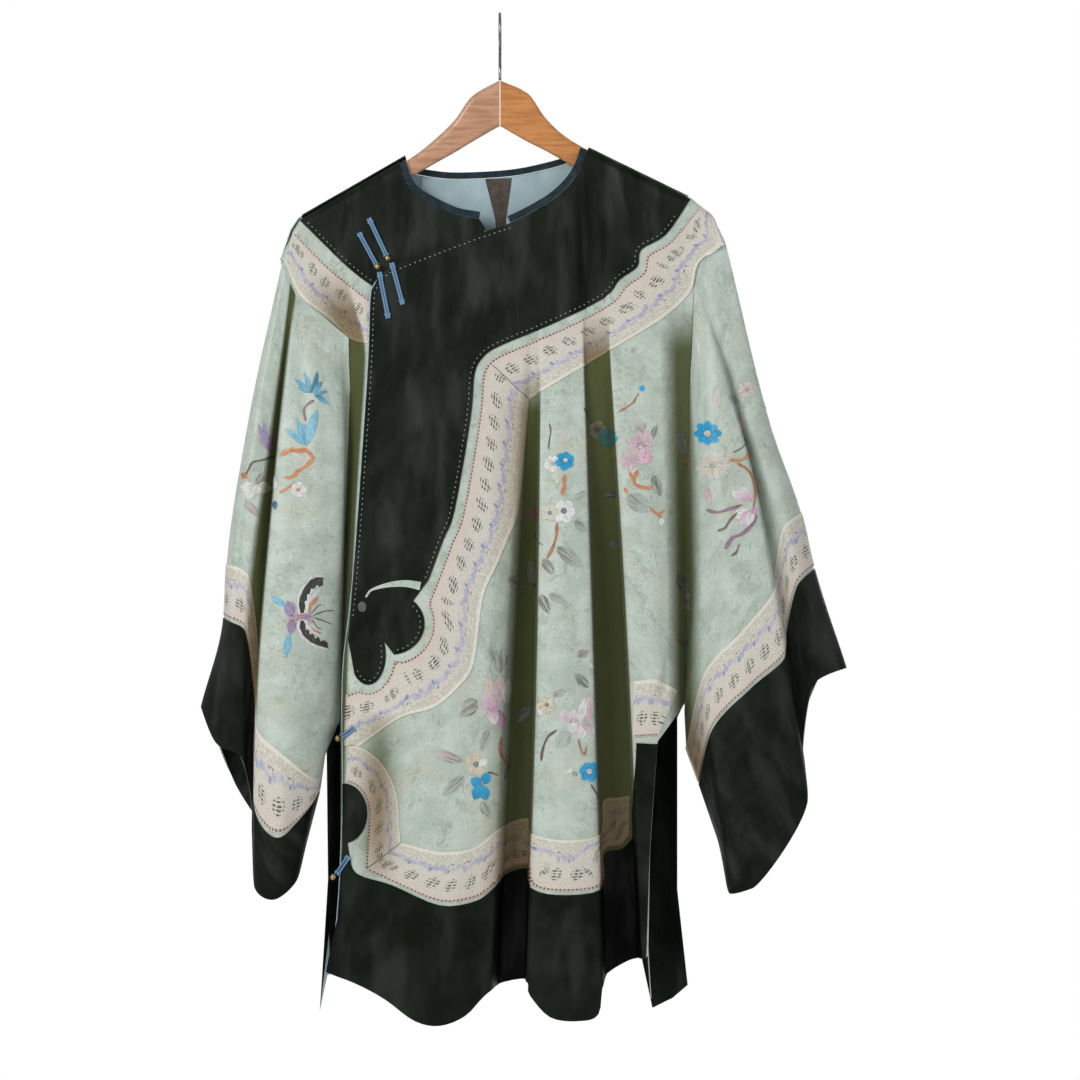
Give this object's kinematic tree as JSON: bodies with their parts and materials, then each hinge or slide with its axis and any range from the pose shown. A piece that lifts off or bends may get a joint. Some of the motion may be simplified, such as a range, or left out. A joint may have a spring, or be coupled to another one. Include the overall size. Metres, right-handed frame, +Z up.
{
  "type": "jacket on hanger",
  "caption": "Side-closing wide-sleeved silk jacket with satin yoke, ribbon borders and cord frogs, hung on a wooden hanger with a wire hook.",
  "frame": {"origin": "inside top of the hanger's hook, where the rail bears on it and the whole thing hangs", "axes": "+Z up, the front faces -Y, and +X is the wearer's left"},
  "size_m": [0.6915, 0.1166, 1.0812],
  "materials": {
    "celadon_silk": "silk damask with a soft sheen",
    "black_satin": "satin",
    "woven_ribbon": "woven and matte",
    "teal_binding": "dull satin",
    "blue_lining": "plain weave",
    "blue_cord": "corded",
    "button_brass": "aged and polished",
    "hanger_wood": "varnished",
    "hook_wire": "dull wire"
  },
  "bodies": {
    "root": {"back": "celadon_silk", "border_back": "black_satin", "border_front": "black_satin", "button_neck_1": "button_brass", "button_neck_2": "button_brass", "button_slit_1": "button_brass", "button_slit_2": "button_brass", "cuff_left": "black_satin", "cuff_right": "black_satin", "facing_neck": "teal_binding", "frog_neck_1_loop": "blue_cord", "frog_neck_1_strand": "blue_cord", "frog_neck_2_loop": "blue_cord", "frog_neck_2_strand": "blue_cord", "frog_slit_1_loop": "blue_cord", "frog_slit_2_loop": "blue_cord", "front_over": "celadon_silk", "front_under": "celadon_silk", "hanger_arm_left": "hanger_wood", "hanger_arm_right": "hanger_wood", "hanger_hook": "hook_wire", "lining_neck_left": "blue_lining", "lining_neck_right": "blue_lining", "neck_binding_back": "teal_binding", "neck_binding_over": "teal_binding", "neck_binding_under": "teal_binding", "ribbon_hem_back": "woven_ribbon", "ribbon_hem_front": "woven_ribbon", "ribbon_sleeve_left": "woven_ribbon", "ribbon_sleeve_right": "woven_ribbon", "ribbon_slit_left": "woven_ribbon", "ribbon_slit_right": "woven_ribbon", "ribbon_yoke_back": "woven_ribbon", "ribbon_yoke_over": "woven_ribbon", "ribbon_yoke_under": "woven_ribbon", "sleeve_left_back": "celadon_silk", "sleeve_left_front": "celadon_silk", "sleeve_right_back": "celadon_silk", "sleeve_right_front": "celadon_silk", "yoke_back": "black_satin", "yoke_over": "black_satin", "yoke_under": "black_satin"}
  },
  "joints": []
}
